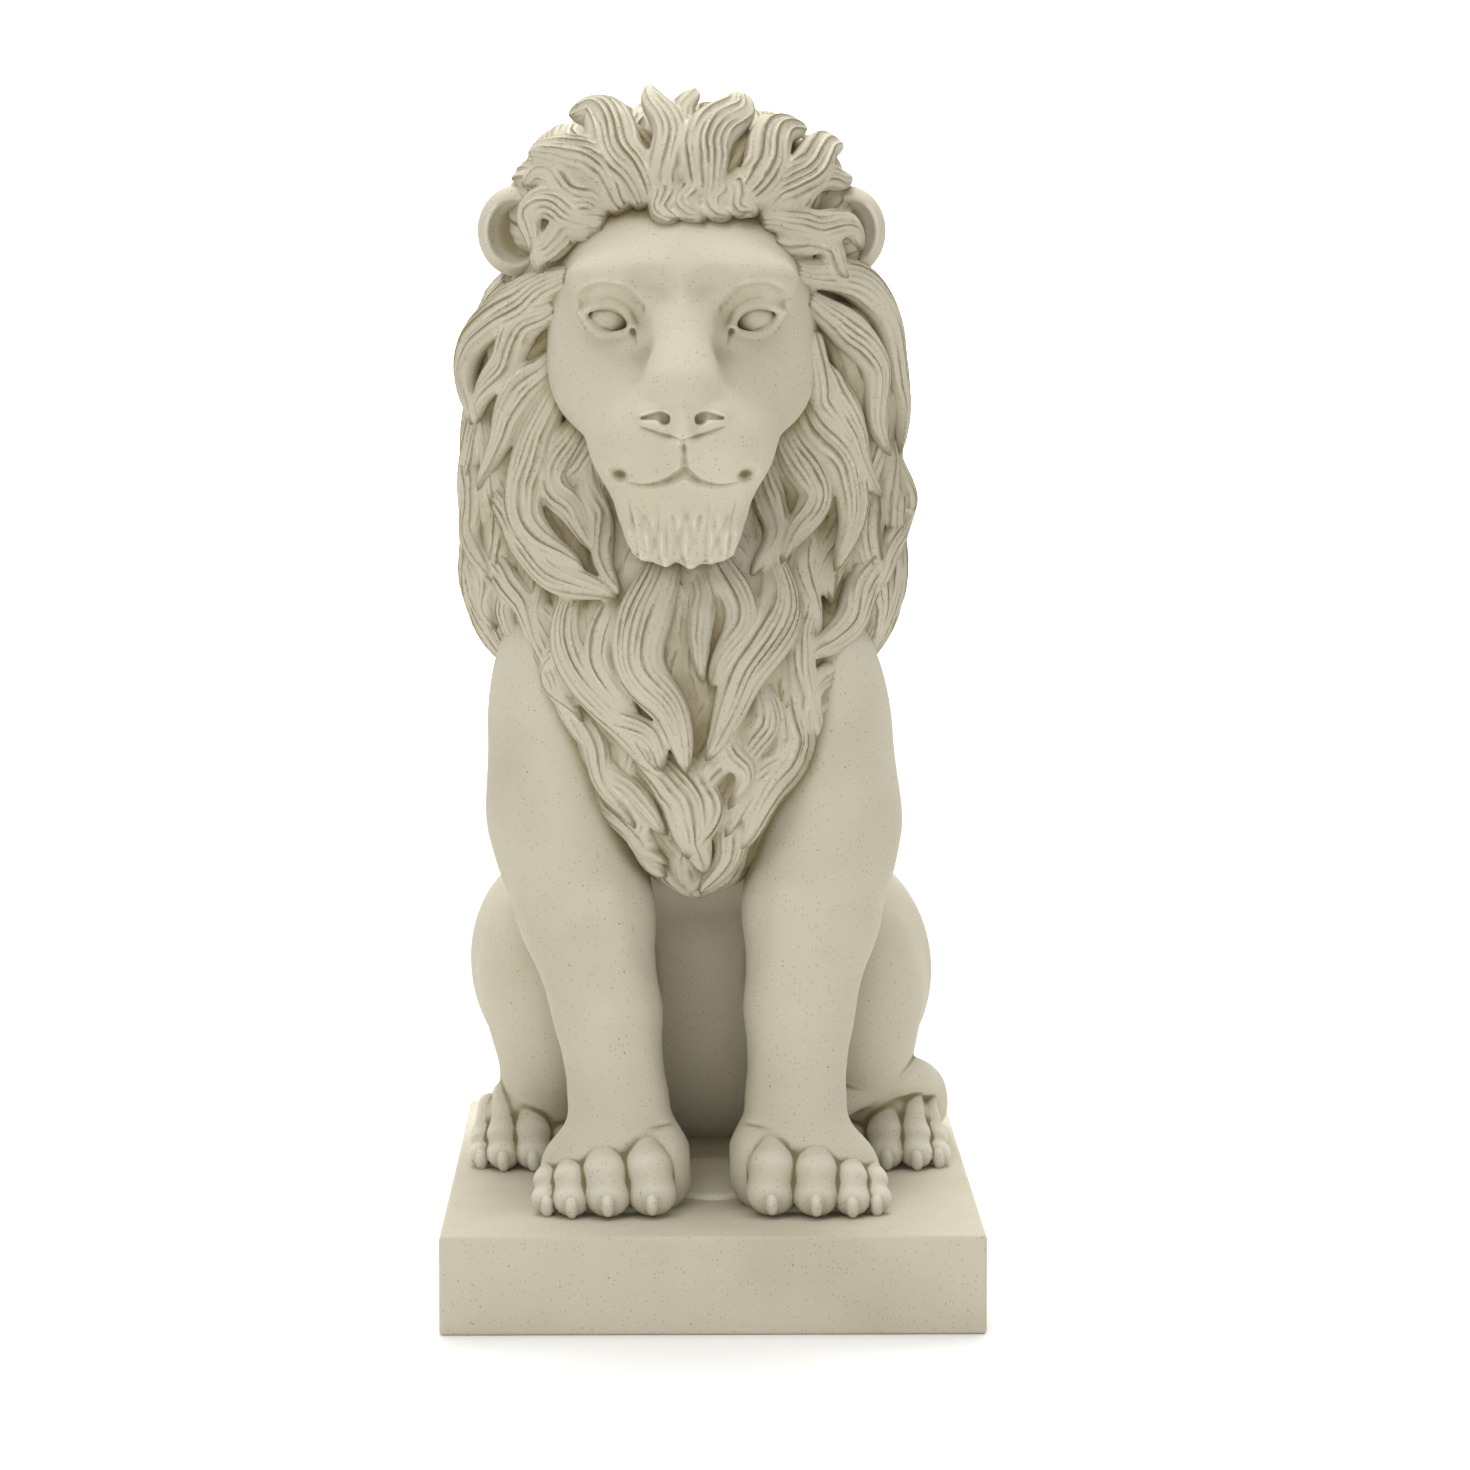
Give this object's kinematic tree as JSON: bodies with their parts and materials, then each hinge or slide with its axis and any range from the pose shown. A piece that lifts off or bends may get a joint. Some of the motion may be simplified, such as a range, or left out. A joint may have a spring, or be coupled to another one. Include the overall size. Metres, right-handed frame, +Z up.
{
  "type": "lion statue",
  "caption": "Seated lion with a full mane, cast in one with its rectangular plinth, as an ornament for a garden, step or shelf.",
  "frame": {"origin": "middle of the plinth's underside", "axes": "+Z up; the lion looks along -Y; its own left side is at +X"},
  "size_m": [0.175, 0.25, 0.4],
  "materials": {
    "cast_stone": "cream cast stone, matt, with fine dark specks and pits and a taupe wash in the grooves"
  },
  "bodies": {
    "root": {"seated_lion_on_plinth": "cast_stone"}
  },
  "joints": []
}
